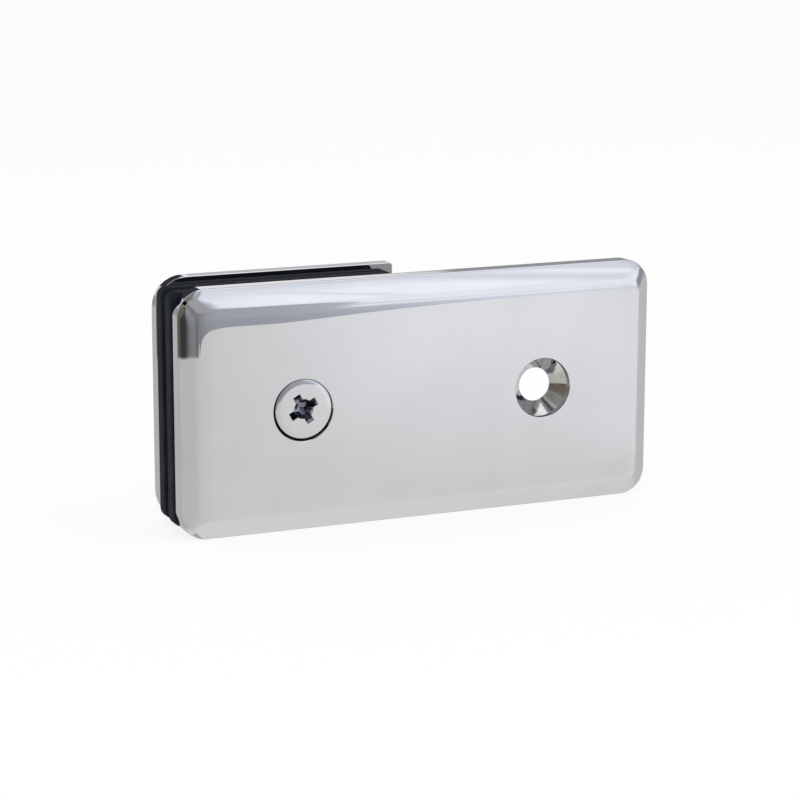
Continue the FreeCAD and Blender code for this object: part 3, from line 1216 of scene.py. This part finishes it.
@dataclass
class ClampScrew:
    """A countersunk machine screw with a cross recess and a full thread.

    Attributes:
        name: what the piece is called.
        node: the solid that it stands for.
        centre: the x and z of its axis.
        head: the radius of the head.
        flat: the radius within which the head is flat.
        fall: how far it falls from there to its edge.
        fall_power: how late on the way it falls.
        rim: how deep the head's straight rim is.
        edge: how far the head's edge is rounded.
        edge_steps: faces across that rounding, and across the fall.
        shank: the radius over the thread's crests.
        pitch: how far the thread climbs in a turn.
        depth: from its crests to its roots.
        crest, flank: the shares of a pitch that a crest and a flank take.
        plain: the stretch under the head that has no thread.
        tip: how far its end tapers.
        turn: how far the cross stands turned, in radians.
        recess_span, recess_wing: how long and how wide an arm of the cross is at the face.
        root_span, root_wing: the same at its bottom.
        recess_depth: how deep that is.
        flare: how deep the cross's edge is rounded.
        flares: how deep the rows of that edge lie, and how much wider they are, in flares.
        pit: the radius of the round pit in the middle of the cross.
        pit_floor, pit_depth: how wide its floor is, and how deep its point, as shares of its
            radius and of the cross's depth.
        pit_steps: faces round it.
        steps: faces round the screw.
        rows_per_pitch: rows of faces in a pitch.
    """

    name: str
    node: str
    centre: Pair
    head: float = 6.0 * MM
    flat: float = 4.9 * MM
    fall: float = 0.04 * MM
    fall_power: float = 1.5
    rim: float = 0.8 * MM
    edge: float = 0.25 * MM
    edge_steps: int = 6
    shank: float = 3.0 * MM
    pitch: float = 1.0 * MM
    depth: float = 0.6 * MM
    crest: float = 0.125
    flank: float = 0.3125
    plain: float = 1.2 * MM
    tip: float = 0.8 * MM
    turn: float = math.radians(29.0)
    recess_span: float = 6.1 * MM
    recess_wing: float = 1.5 * MM
    root_span: float = 3.2 * MM
    root_wing: float = 0.9 * MM
    recess_depth: float = 2.2 * MM
    flare: float = 0.1 * MM
    flares: Sequence[Pair] = ((-2, 6), (0, 2), (1, 0))
    pit: float = 1.9 * MM
    pit_floor: float = 0.5
    pit_depth: float = 1.2
    pit_steps: int = 48
    steps: int = 96
    rows_per_pitch: int = 12

    def build(self) -> Piece:
        """Models the screw in the room of its solid.

        Returns:
            The screw.
        """
        low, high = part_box(self.node)
        face, end = low.y, high.y
        neck = face + self.rim + self.head - self.shank
        length = end - self.tip - neck
        rows = round(length / self.pitch * self.rows_per_pitch)
        crown, lowest = self.head - self.edge, face + self.fall
        shares = [step / self.edge_steps for step in range(self.edge_steps)]
        screw = turned(self.name, [
            (0, face),
            *((self.flat + (crown - self.flat) * share, face + self.fall * share ** self.fall_power)
              for share in shares),
            *((crown + self.edge * out, lowest + self.edge * along)
              for out, along in quarter_round(self.edge_steps)),
            (self.head, face + self.rim),
            *((self.shank, neck + length * row / rows) for row in range(rows + 1)),
            (self.shank - self.tip, end), (0, end),
        ], self.centre, self.steps)
        self._thread(screw, neck + self.plain)
        self._recess(screw, face)
        self._pit(screw, face)
        return screw

    def _thread(self, screw: Piece, start: float) -> None:
        """Presses the thread's groove into the shank.

        Args:
            screw: the plain screw.
            start: the y where the thread begins.
        """
        across, up = self.centre
        for corner in screw.data.vertices:
            x, z = corner.co.x - across, corner.co.z - up
            if abs(math.hypot(x, z) - self.shank) > TOUCH or corner.co.y < start - TOUCH:
                continue
            turns = (corner.co.y - start) / self.pitch
            phase = (turns - math.atan2(z, x) / FULL_TURN) % 1.0
            falls = phase < 0.5 + self.crest / 2
            ramp = (phase - self.crest if falls else 1.0 - phase) / self.flank
            shrink = 1 - self.depth / self.shank * min(max(ramp, 0.0), 1.0) * min(1.0, turns)
            corner.co.x, corner.co.z = across + x * shrink, up + z * shrink

    def _recess(self, screw: Piece, face: float) -> None:
        """Sinks the cross into the head, one arm after the other.

        Args:
            screw: the screw.
            face: the y of the head's face.
        """
        across, up = self.centre
        middle = (across, face, up)
        levels = [self.flare * deep for deep, _ in self.flares] + [self.recess_depth]
        spans = [
            (self.recess_span + self.flare * wider, self.recess_wing + self.flare * wider)
            for _, wider in self.flares] + [(self.root_span, self.root_wing)]
        for arm in range(2):
            work = Workpiece("recess_cutter")
            bpy.ops.mesh.primitive_plane_add(
                size=1, location=(across, face + levels[0], up), rotation=(QUARTER_TURN, 0, 0))
            bpy.ops.transform.resize(
                value=(spans[0][0], 1, spans[0][1]), center_override=middle)
            for (width, height), (wide, high), here, there in zip(
                    spans, spans[1:], levels, levels[1:]):
                work.extrude(there - here)
                bpy.ops.transform.resize(
                    value=(wide / width, 1, high / height), center_override=middle)
            bpy.ops.mesh.select_all(action="SELECT")
            bpy.ops.transform.rotate(
                value=self.turn + arm * QUARTER_TURN, orient_axis="Y", center_override=middle)
            carve(screw, work.close())

    def _pit(self, screw: Piece, face: float) -> None:
        """Sinks the round pit into the middle of the cross.

        Args:
            screw: the screw.
            face: the y of the head's face.
        """
        lip = self.flare
        carve(screw, turned("recess_pit", [
            (0, face - lip), (self.pit + 2.5 * lip, face - lip), (self.pit + lip, face + lip / 3),
            (self.pit + lip / 2, face + lip),
            (self.pit * self.pit_floor, face + self.recess_depth),
            (0, face + self.recess_depth * self.pit_depth),
        ], self.centre, self.pit_steps))


class Finish(Enum):
    """What a piece is finished in, by the record's material slot."""

    PLATE = "plate_chrome"
    PAD = "pad_rubber"
    BUSH = "bush_plastic"
    SCREW = "screw_chrome"


@dataclass
class GlassClamp:
    """The whole clamp: builds its pieces, dresses them and sets them on their bodies.

    Attributes:
        hang: how far to the left and down the front plate's hole lies off the screw, on which the
            plate hangs.
        front_corner: the radius of the front plate's corners.
        back_corners: those of the back plate, at the left and at the right.
        front_wall, back_wall: how far each plate's walls go before the bevel.
        screw_bright: how far down from its face the screw stays bright, before a painted shade
        darkens the part that sinks into the countersink.
        creases: the angles, in degrees, past which each finish's edges stay sharp.
    """

    hang: Pair = (0.14 * MM, 0.19 * MM)
    front_corner: float = 5.6 * MM
    back_corners: Pair = (6.4 * MM, 0.8 * MM)
    front_wall: float = 3.4 * MM
    back_wall: float = 3.05 * MM
    screw_bright: float = 0.25 * MM
    creases: Sequence[tuple[Finish, float]] = (
        (Finish.PLATE, 28), (Finish.PAD, 40), (Finish.BUSH, 40), (Finish.SCREW, 30))

    def __post_init__(self) -> None:
        """Reads the screw's place from the frame, and makes the finishes."""
        low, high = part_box("clamp_screw")
        self.axis = ((low.x + high.x) / 2, (low.z + high.z) / 2)
        self.wall_axis = (-self.axis[0], self.axis[1])
        self.materials = {
            Finish.PLATE: PolishedChrome("polished_chrome", cones=[self.wall_axis]).material(),
            # The screw's chrome takes a painted shade from screw_bright behind its face, where it
            # sits in the hole.
            Finish.SCREW: PolishedChrome(
                "screw_chrome", shade_from=low.y + self.screw_bright).material(),
            Finish.PAD: SoftRubber("pad_rubber").material(),
            Finish.BUSH: MouldedPlastic("bush_nylon").material(),
        }

    def build(self) -> None:
        """Builds every piece and reports it."""
        self._add(self._front_plate(), "front", "front_plate", Finish.PLATE)
        self._add(self._back_plate(), "back", "back_plate", Finish.PLATE)
        for side in ("front", "back"):
            pad = SoftPad(f"{side}_pad", f"{side}_gasket", self.axis)
            self._add(pad.build(), side, pad.node, Finish.PAD)
        bush = Bush("bush_moulded", "glass_bush", self.axis)
        self._add(bush.build(), "bush", bush.node, Finish.BUSH)
        screw = ClampScrew("screw_turned", "clamp_screw", self.axis)
        self._add(screw.build(), "screw", screw.node, Finish.SCREW)

    def _front_plate(self) -> Piece:
        """Models the long plate with its two countersunk holes.

        Returns:
            The plate.
        """
        low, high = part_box("front_plate")
        plate = BevelledPlate(
            "front_casting",
            Outline(low.x, high.x, low.z, high.z, self.front_corner, self.front_corner),
            inner=high.y, facing=Facing.FRONT, wall=self.front_wall, thickness=high.y - low.y)
        casting = plate.build()
        clamp_axis = (self.axis[0] - self.hang[0], -self.hang[1])
        carve(casting, Hole().cutter(clamp_axis, plate.outer, high.y, "clamp_hole_cutter"))
        wall_hole = Hole(throat=3.5 * MM, mouth=6.15 * MM, land=1.3 * MM, lip=0.14 * MM)
        carve(casting, wall_hole.cutter(
            (self.wall_axis[0], 0), plate.outer, high.y, "wall_hole_cutter"))
        return casting

    def _back_plate(self) -> Piece:
        """Models the short plate with its tapped boss.

        Returns:
            The plate.
        """
        low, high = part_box("back_plate")
        front_low, front_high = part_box("front_plate")
        thickness = front_high.y - front_low.y
        inner = high.y - thickness
        casting = BevelledPlate(
            "back_casting", Outline(low.x, high.x, low.z, high.z, *self.back_corners),
            inner=inner, facing=Facing.BACK, wall=self.back_wall, thickness=thickness,
            corner_steps=8, side_cuts=(60, 60), shoulder=0.2 * MM, ridge=0.5 * MM).build()
        Boss().raise_on(casting, self.axis, inner, high.y, low.y)
        return casting

    def _add(self, piece: Piece, body: str, node: str, finish: Finish) -> None:
        """Dresses a piece, sets it on its body in place of its solid, and reports it.

        Args:
            piece: the piece.
            body: the moving body that it belongs to.
            node: the solid that it stands for.
            finish: what it is finished in.
        """
        smooth(piece, dict(self.creases)[finish])
        piece.data.materials.clear()
        piece.data.materials.append(self.materials[finish])
        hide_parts(node)
        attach(piece, body)
        log.info("%s: %d faces on %s", piece.name, len(piece.data.polygons), body)


@dataclass(frozen=True)
class Camera:
    """The camera of the reference view.

    Attributes:
        place: where it stands.
        azimuth: how far it looks to the right of +Y, in degrees.
        elevation: how far it looks down, in degrees.
        roll: how far its picture is turned clockwise, in degrees.
        lens: its focal length in millimetres.
        sensor: the width of its sensor in millimetres.
        nearest, furthest: the distances between which it sees.
    """

    place: Vector = Vector((-204.9 * MM, -459.69 * MM, 107.02 * MM))
    azimuth: float = 23.689
    elevation: float = 12.166
    roll: float = 0.082
    lens: float = 113.81
    sensor: float = 36.0
    nearest: float = 0.01
    furthest: float = 50.0

    def build(self) -> None:
        """Makes it the scene's camera."""
        data = bpy.data.cameras.new("camera")
        data.lens = self.lens
        data.sensor_width = self.sensor
        data.clip_start = self.nearest
        data.clip_end = self.furthest
        camera = bpy.data.objects.new("camera", data)
        turn = (
            Matrix.Rotation(-math.radians(self.azimuth), 4, "Z")
            @ Matrix.Rotation(QUARTER_TURN - math.radians(self.elevation), 4, "X")
            @ Matrix.Rotation(math.radians(self.roll), 4, "Z"))
        camera.matrix_world = Matrix.Translation(self.place) @ turn
        bpy.context.scene.collection.objects.link(camera)
        bpy.context.scene.camera = camera


@dataclass(frozen=True)
class Card:
    """A card in the studio, placed by the direction in which a polished face sees it, in degrees.

    Attributes:
        left, right: the azimuths of its ends, from straight in front of the clamp towards +X.
        low, high: the elevations of its lower and upper edge.
        side_blur: over how much to each side an end fades.
        end_blur: over how much to each side an edge fades.
        colour: its colour.
        lean: how far its ends move to the left for each degree of elevation over LEAN_FROM.
        tilt: how far its edges move down for each degree of azimuth over TILT_FROM.
    """

    left: float
    right: float
    low: float
    high: float
    side_blur: float
    end_blur: float
    colour: Colour
    lean: float = 0.0
    tilt: float = 0.0


LEAN_FROM = 40.0
TILT_FROM = 27.0
LEFTMOST = -120.0
RIGHTMOST = 240.0
BLACK = (0.0, 0.0, 0.0)
WHITE = (1.0, 1.0, 1.0)
TABLE = (
    (-120, (0.62, 0.62, 0.63)), (-66, (0.68, 0.65, 0.52)), (-60, (0.70, 0.69, 0.64)),
    (-54, (0.73, 0.72, 0.70)), (-40, (0.75, 0.745, 0.73)), (-10, (0.79, 0.783, 0.765)),
    (8, (0.83, 0.823, 0.805)), (17, (0.855, 0.845, 0.835)), (20, (0.91, 0.90, 0.888)),
    (24.5, (0.935, 0.93, 0.92)), (28.5, (0.925, 0.915, 0.905)), (42, (1.0, 0.995, 0.97)),
    (52, (0.97, 0.965, 0.945)), (60, (0.80, 0.795, 0.785)), (98, (0.78, 0.775, 0.755)),
    (106, (0.78, 0.775, 0.755)), (113, (0.98, 0.98, 0.97)), (120, (0.92, 0.92, 0.92)),
    (126, (0.64, 0.64, 0.64)), (150, (0.60, 0.595, 0.59)), (196, (0.74, 0.735, 0.725)),
    (240, (0.62, 0.62, 0.63)),
)
ROOM = (
    (-120, (0.30, 0.30, 0.30)), (-66, (0.21, 0.17, 0.13)), (-56, (0.20, 0.17, 0.14)),
    (-50, (0.20, 0.20, 0.205)), (-48, (0.35, 0.355, 0.37)), (-42, (0.42, 0.425, 0.44)),
    (-20, (0.28, 0.285, 0.30)), (-2, (0.28, 0.285, 0.30)), (12, (0.39, 0.40, 0.43)),
    (18, (0.50, 0.515, 0.57)), (20.5, (0.56, 0.575, 0.64)), (22, (0.65, 0.67, 0.74)),
    (24, (0.80, 0.84, 0.93)), (26, (0.97, 1.03, 1.13)), (60, (0.95, 1.0, 1.08)),
    (98, (0.78, 0.78, 0.80)), (110, (0.60, 0.60, 0.62)), (140, (0.46, 0.46, 0.49)),
    (176, (0.45, 0.45, 0.48)), (240, (0.50, 0.50, 0.52)),
)
TABLE_CARDS = (
    Card(21.5, 62, -12.4, 20, 3, 2.2, (1.12, 1.13, 1.16)),
    Card(28.3, 62, -12.8, 20, 1, 1.6, (1.08, 1.09, 1.12)),
    Card(-130, 250, -110, -53, 1, 13, (0.96, 0.96, 0.95)),
    Card(-130, 250, -110, -76, 1, 4, (0.55, 0.55, 0.57)),
)
ROOM_CARDS = (
    Card(-54.4, -50.3, -11.2, 28, 0.9, 0.035, (0.06, 0.06, 0.065)),
    Card(-85, -20, 21, 110, 3, 5, (0.34, 0.33, 0.30)),
    Card(-20, 23.5, 17, 54, 2, 3, (0.52, 0.52, 0.53)),
    Card(-118, -62, 31, 47, 4, 2, BLACK),
    Card(-31, -15, 59, 67, 2, 2, (0.10, 0.10, 0.10)),
    Card(-42, -38.5, 52.5, 57, 1, 1, (0.75, 0.75, 0.74)),
    Card(24.9, 80, -1.5, 48, 0.4, 2.5, (1.21, 1.25, 1.33), lean=-0.07),
    Card(26, 80, 36.3, 48, 1.5, 0.5, (1.33, 1.36, 1.43)),
    Card(24.5, 80, 41.6, 50, 0.8, 2.6, (1.03, 1.06, 1.16), lean=-0.07),
    Card(28.1, 28.8, 36, 45, 0.35, 2, (1.13, 1.16, 1.26), lean=0.45),
    Card(33.0, 35.2, 34, 47, 1.1, 2, (1.03, 1.07, 1.18), lean=0.45),
    Card(36.6, 80, 34, 47, 0.8, 2, (1.0, 1.04, 1.14), lean=0.45),
    Card(29.5, 80, 44.2, 54, 1.2, 0.8, (0.90, 0.94, 1.06), tilt=0.22),
    Card(47, 88, -4, 30, 3, 4, (0.42, 0.42, 0.47)),
    Card(14, 170, 57, 110, 20, 5, (1.25, 1.26, 1.28)),
    Card(155.3, 164, 4, 14, 0.3, 2, (0.78, 0.78, 0.81)),
    Card(155.3, 164, 9.38, 14, 0.3, 0.05, (1.25, 1.22, 1.27)),
    Card(164, 191.5, 4, 36, 1.5, 3, (0.05, 0.05, 0.07)),
    Card(191.5, 207, 6, 25, 1, 3, (0.95, 0.95, 0.97)),
)


@dataclass(frozen=True)
class Lamp:
    """A soft square lamp that looks at the object, and that its polish doesn't show.

    Attributes:
        name: its name.
        place: where it hangs.
        watts: its power.
        size: its side.
    """

    name: str
    place: tuple[float, float, float]
    watts: float
    size: float = 0.6

    def build(self) -> None:
        """Hangs it in the scene."""
        data = bpy.data.lights.new(self.name, "AREA")
        data.size = self.size
        data.energy = self.watts
        lamp = bpy.data.objects.new(self.name, data)
        lamp.location = self.place
        lamp.rotation_mode = "QUATERNION"
        lamp.rotation_quaternion = (-Vector(self.place)).to_track_quat("-Z", "Y")
        lamp.visible_glossy = False
        bpy.context.scene.collection.objects.link(lamp)


@dataclass(frozen=True)
class Studio:
    """A pale floor, soft light, and what a polished face sees round it.

    Attributes:
        floor_level: the z that the object stands on.
        floor_size: how wide the floor is.
        floor_grey: how bright it is where it takes a shadow.
        floor_glow: how much of it shows as plain white all the same.
        light_grey: how bright the world is to what isn't polished.
        lamps: the lamps.
        foot: the elevations, in degrees, between which the lowest part of the room brightens.
        foot_shade: by how much.
        table_drop: how far below eye level the table's far edge lies at the left, in degrees.
        table_rises: from which azimuth to which it rises, and how far.
        table_blur: how soft that edge is at the left.
        blur_rise: from which azimuth to which it grows softer, and how much.
    """

    floor_level: float
    floor_size: float = 40
    floor_grey: float = 0.93
    floor_glow: float = 0.85
    light_grey: float = 0.8
    lamps: Sequence[Lamp] = (
        Lamp("key", (-0.35, -0.6, 0.9), 3.2), Lamp("fill", (0.8, -0.5, 0.6), 2.0))
    foot: Pair = (-10.0, -3.0)
    foot_shade: float = 0.15
    table_drop: float = 11.18
    table_rises: Sequence[Rise] = ((4.0, 20.5, 1.3), (20.5, 27.5, 5.0))
    table_blur: float = 0.035
    blur_rise: Rise = (24.5, 27.5, 1.4)

    def build(self) -> None:
        """Adds the floor, the world and the lamps."""
        self._floor()
        self._world()
        for lamp in self.lamps:
            lamp.build()

    def _floor(self) -> None:
        """Adds a wide floor that shows as white and keeps a soft shadow."""
        work = Workpiece("floor")
        bpy.ops.mesh.primitive_plane_add(size=self.floor_size, location=(0, 0, self.floor_level))
        floor = work.close()
        floor.visible_glossy = False
        made = bpy.data.materials.new("floor_white")
        shader = Shader(made)
        is_camera = shader.node("ShaderNodeLightPath")[0]
        grey = (self.floor_grey,) * 3
        lit = shader.node("ShaderNodeBsdfDiffuse", None, {"Color": (*grey, 1)})[0]
        glow = {"Color": (*WHITE, 1), "Strength": 1.0}
        white = shader.node("ShaderNodeEmission", None, glow)[0]
        layers = {0: is_camera * self.floor_glow, 1: lit, 2: white}
        surface = shader.node("ShaderNodeMixShader", None, layers)[0]
        shader.node("ShaderNodeOutputMaterial", None, {"Surface": surface})
        floor.data.materials.append(made)
        floor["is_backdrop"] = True

    def _world(self) -> None:
        """Surrounds the object with white, and shows its polish the table, the room and cards."""
        world = bpy.data.worlds.new("studio")
        bpy.context.scene.world = world
        shader = Shader(world)
        path = shader.node("ShaderNodeLightPath")
        is_camera, is_glossy = path[0], path[3]
        direction = shader.node("ShaderNodeTexCoord")[0]
        x, y, z = shader.node("ShaderNodeSeparateXYZ", None, {0: direction})
        azimuth = (x.turned_from(y * -1.0) * DEGREES).wrapped(LEFTMOST, RIGHTMOST)
        elevation = z.arcsine() * DEGREES
        table = shader.ramp(azimuth, LEFTMOST, RIGHTMOST, TABLE)
        table = self._hang(shader, table, azimuth, elevation, TABLE_CARDS)
        room = shader.ramp(azimuth, LEFTMOST, RIGHTMOST, ROOM)
        lit = elevation.above(*self.foot) * self.foot_shade + (1 - self.foot_shade)
        room = shader.mix(lit, BLACK, room)
        first, second = (azimuth.above(start, end) * by for start, end, by in self.table_rises)
        start, end, more = self.blur_rise
        edge = first + second - self.table_drop
        blur = azimuth.above(start, end) * more + self.table_blur
        seen = shader.mix(((elevation - edge) / blur).above(-1.0, 1.0), table, room)
        seen = self._hang(shader, seen, azimuth, elevation, ROOM_CARDS)
        shown = shader.mix(is_glossy, (self.light_grey,) * 3, seen)
        shown = shader.mix(is_camera, shown, WHITE)
        back = shader.node("ShaderNodeBackground", None, {"Color": shown, "Strength": 1.0})[0]
        shader.node("ShaderNodeOutputWorld", None, {"Surface": back})

    @staticmethod
    def _hang(
        shader: Shader, behind: Value, azimuth: Value, elevation: Value, cards: Sequence[Card]
    ) -> Value:
        """Hangs cards in front of what is seen, the first one furthest back.

        Args:
            shader: the world's shader.
            behind: the colour behind them.
            azimuth, elevation: where something is seen, in degrees.
            cards: the cards.

        Returns:
            The colour with the cards.
        """
        for card in cards:
            across, height = azimuth, elevation
            if card.lean:
                across = (elevation - LEAN_FROM) * card.lean + azimuth
            if card.tilt:
                height = (azimuth - TILT_FROM) * card.tilt + elevation
            share = across.between(card.left, card.right, card.side_blur)
            share = share * height.between(card.low, card.high, card.end_blur)
            behind = shader.mix(share, behind, card.colour)
        return behind


def corners() -> list[list[float]]:
    """The shown object's lowest and highest corner, as plain numbers."""
    return [list(corner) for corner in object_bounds()]


def main() -> None:
    """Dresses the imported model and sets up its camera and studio."""
    logging.basicConfig(level=logging.INFO, format="%(message)s")
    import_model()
    bpy.context.scene.view_settings.view_transform = "Standard"
    GlassClamp().build()
    Studio(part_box("front_plate")[0].z).build()
    Camera().build()


if __name__ == "__main__":
    main()
